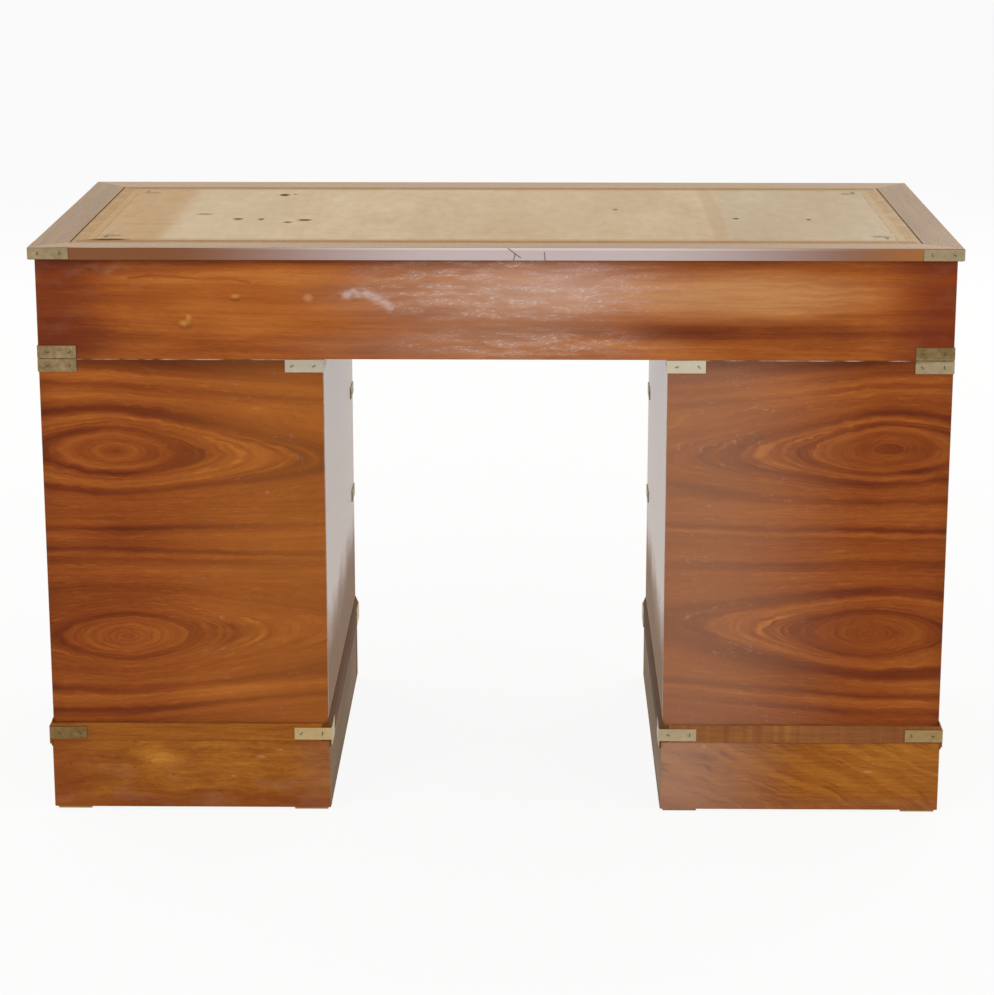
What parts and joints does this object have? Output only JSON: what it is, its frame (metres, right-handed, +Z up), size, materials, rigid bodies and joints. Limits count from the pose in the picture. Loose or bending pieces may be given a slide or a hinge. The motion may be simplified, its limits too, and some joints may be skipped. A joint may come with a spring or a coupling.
{
  "type": "campaign pedestal desk",
  "caption": "Mahogany campaign pedestal desk with a leather top, brass corner straps and flush-handled drawers.",
  "frame": {"origin": "on the floor under the middle of the top", "axes": "+Z up, the drawers face -Y and the plain back faces +Y, +X to the sitter's right"},
  "size_m": [1.22, 0.61, 0.78],
  "materials": {
    "mahogany": "french polished, worn",
    "mahogany_rails": "french polished",
    "plinth_mahogany": "french polished, ochre",
    "beech": "bare",
    "pale_wood": "bare",
    "core_board": "bare",
    "leather": "tooled and waxed, aged",
    "top_mahogany": "french polished",
    "strap_brass": "aged, dull",
    "screw_brass": "aged",
    "drawer_front": "french polished",
    "drawer_lining": "bare oak",
    "handle_brass": "lacquered, aged",
    "bail_brass": "rubbed bright"
  },
  "bodies": {
    "stand": {"right_pedestal_sides": "mahogany", "left_pedestal_sides": "mahogany", "right_pedestal_back_panel": "mahogany", "left_pedestal_back_panel": "mahogany", "right_pedestal_frame": "mahogany_rails", "left_pedestal_frame": "mahogany_rails", "locating_dowels": "beech", "right_plinth": "plinth_mahogany", "left_plinth": "plinth_mahogany", "feet": "pale_wood", "plinth_mouldings": "plinth_mahogany", "stand_corner_straps": "strap_brass", "stand_strap_screws": "screw_brass"},
    "case": {"writing_leather": "leather", "top_core_board": "core_board", "top_border_boards": "top_mahogany", "case_back_panel": "mahogany", "case_end_boards": "mahogany", "case_dividers": "mahogany_rails", "case_frame": "mahogany_rails", "top_corner_straps": "strap_brass", "case_corner_straps": "strap_brass", "case_strap_screws": "screw_brass"},
    "right_frieze_drawer": {"right_frieze_front": "drawer_front", "right_frieze_box": "drawer_lining", "right_frieze_handle_plate": "handle_brass"},
    "right_frieze_handle": {"right_frieze_bail": "bail_brass"},
    "right_top_drawer": {"right_top_front": "drawer_front", "right_top_box": "drawer_lining", "right_top_handle_plate": "handle_brass"},
    "right_top_handle": {"right_top_bail": "bail_brass"},
    "right_middle_drawer": {"right_middle_front": "drawer_front", "right_middle_box": "drawer_lining", "right_middle_handle_plate": "handle_brass"},
    "right_middle_handle": {"right_middle_bail": "bail_brass"},
    "right_bottom_drawer": {"right_bottom_front": "drawer_front", "right_bottom_box": "drawer_lining", "right_bottom_handle_plate": "handle_brass"},
    "right_bottom_handle": {"right_bottom_bail": "bail_brass"},
    "left_frieze_drawer": {"left_frieze_front": "drawer_front", "left_frieze_box": "drawer_lining", "left_frieze_handle_plate": "handle_brass"},
    "left_frieze_handle": {"left_frieze_bail": "bail_brass"},
    "left_top_drawer": {"left_top_front": "drawer_front", "left_top_box": "drawer_lining", "left_top_handle_plate": "handle_brass"},
    "left_top_handle": {"left_top_bail": "bail_brass"},
    "left_middle_drawer": {"left_middle_front": "drawer_front", "left_middle_box": "drawer_lining", "left_middle_handle_plate": "handle_brass"},
    "left_middle_handle": {"left_middle_bail": "bail_brass"},
    "left_bottom_drawer": {"left_bottom_front": "drawer_front", "left_bottom_box": "drawer_lining", "left_bottom_handle_plate": "handle_brass"},
    "left_bottom_handle": {"left_bottom_bail": "bail_brass"},
    "centre_frieze_drawer": {"centre_frieze_front": "drawer_front", "centre_frieze_box": "drawer_lining", "centre_frieze_handle_plate": "handle_brass"},
    "centre_frieze_left_handle": {"centre_frieze_left_bail": "bail_brass"},
    "centre_frieze_right_handle": {"centre_frieze_right_bail": "bail_brass"}
  },
  "joints": [
    {"name": "case_lift", "type": "slide", "parent": "stand", "child": "case", "axis": [0, 0, 1], "range_m": [0, 0.06]},
    {"name": "right_frieze_slide", "type": "slide", "parent": "case", "child": "right_frieze_drawer", "axis": [0, -1, 0], "range_m": [0, 0.38]},
    {"name": "right_frieze_bail_swing", "type": "hinge", "parent": "right_frieze_drawer", "child": "right_frieze_handle", "pos_m": [0.4145, -0.2885, 0.7075], "axis": [-1, 0, 0], "range_deg": [0, 90]},
    {"name": "right_top_slide", "type": "slide", "parent": "stand", "child": "right_top_drawer", "axis": [0, -1, 0], "range_m": [0, 0.38]},
    {"name": "right_top_bail_swing", "type": "hinge", "parent": "right_top_drawer", "child": "right_top_handle", "pos_m": [0.4145, -0.2885, 0.5515], "axis": [-1, 0, 0], "range_deg": [0, 90]},
    {"name": "right_middle_slide", "type": "slide", "parent": "stand", "child": "right_middle_drawer", "axis": [0, -1, 0], "range_m": [0, 0.38]},
    {"name": "right_middle_bail_swing", "type": "hinge", "parent": "right_middle_drawer", "child": "right_middle_handle", "pos_m": [0.4145, -0.2885, 0.3935], "axis": [-1, 0, 0], "range_deg": [0, 90]},
    {"name": "right_bottom_slide", "type": "slide", "parent": "stand", "child": "right_bottom_drawer", "axis": [0, -1, 0], "range_m": [0, 0.38]},
    {"name": "right_bottom_bail_swing", "type": "hinge", "parent": "right_bottom_drawer", "child": "right_bottom_handle", "pos_m": [0.4145, -0.2885, 0.2275], "axis": [-1, 0, 0], "range_deg": [0, 90]},
    {"name": "left_frieze_slide", "type": "slide", "parent": "case", "child": "left_frieze_drawer", "axis": [0, -1, 0], "range_m": [0, 0.38]},
    {"name": "left_frieze_bail_swing", "type": "hinge", "parent": "left_frieze_drawer", "child": "left_frieze_handle", "pos_m": [-0.4145, -0.2885, 0.7075], "axis": [-1, 0, 0], "range_deg": [0, 90]},
    {"name": "left_top_slide", "type": "slide", "parent": "stand", "child": "left_top_drawer", "axis": [0, -1, 0], "range_m": [0, 0.38]},
    {"name": "left_top_bail_swing", "type": "hinge", "parent": "left_top_drawer", "child": "left_top_handle", "pos_m": [-0.4145, -0.2885, 0.5515], "axis": [-1, 0, 0], "range_deg": [0, 90]},
    {"name": "left_middle_slide", "type": "slide", "parent": "stand", "child": "left_middle_drawer", "axis": [0, -1, 0], "range_m": [0, 0.38]},
    {"name": "left_middle_bail_swing", "type": "hinge", "parent": "left_middle_drawer", "child": "left_middle_handle", "pos_m": [-0.4145, -0.2885, 0.3935], "axis": [-1, 0, 0], "range_deg": [0, 90]},
    {"name": "left_bottom_slide", "type": "slide", "parent": "stand", "child": "left_bottom_drawer", "axis": [0, -1, 0], "range_m": [0, 0.38]},
    {"name": "left_bottom_bail_swing", "type": "hinge", "parent": "left_bottom_drawer", "child": "left_bottom_handle", "pos_m": [-0.4145, -0.2885, 0.2275], "axis": [-1, 0, 0], "range_deg": [0, 90]},
    {"name": "centre_frieze_slide", "type": "slide", "parent": "case", "child": "centre_frieze_drawer", "axis": [0, -1, 0], "range_m": [0, 0.38]},
    {"name": "centre_frieze_left_bail_swing", "type": "hinge", "parent": "centre_frieze_drawer", "child": "centre_frieze_left_handle", "pos_m": [-0.115, -0.2885, 0.7075], "axis": [-1, 0, 0], "range_deg": [0, 90]},
    {"name": "centre_frieze_right_bail_swing", "type": "hinge", "parent": "centre_frieze_drawer", "child": "centre_frieze_right_handle", "pos_m": [0.115, -0.2885, 0.7075], "axis": [-1, 0, 0], "range_deg": [0, 90]}
  ]
}
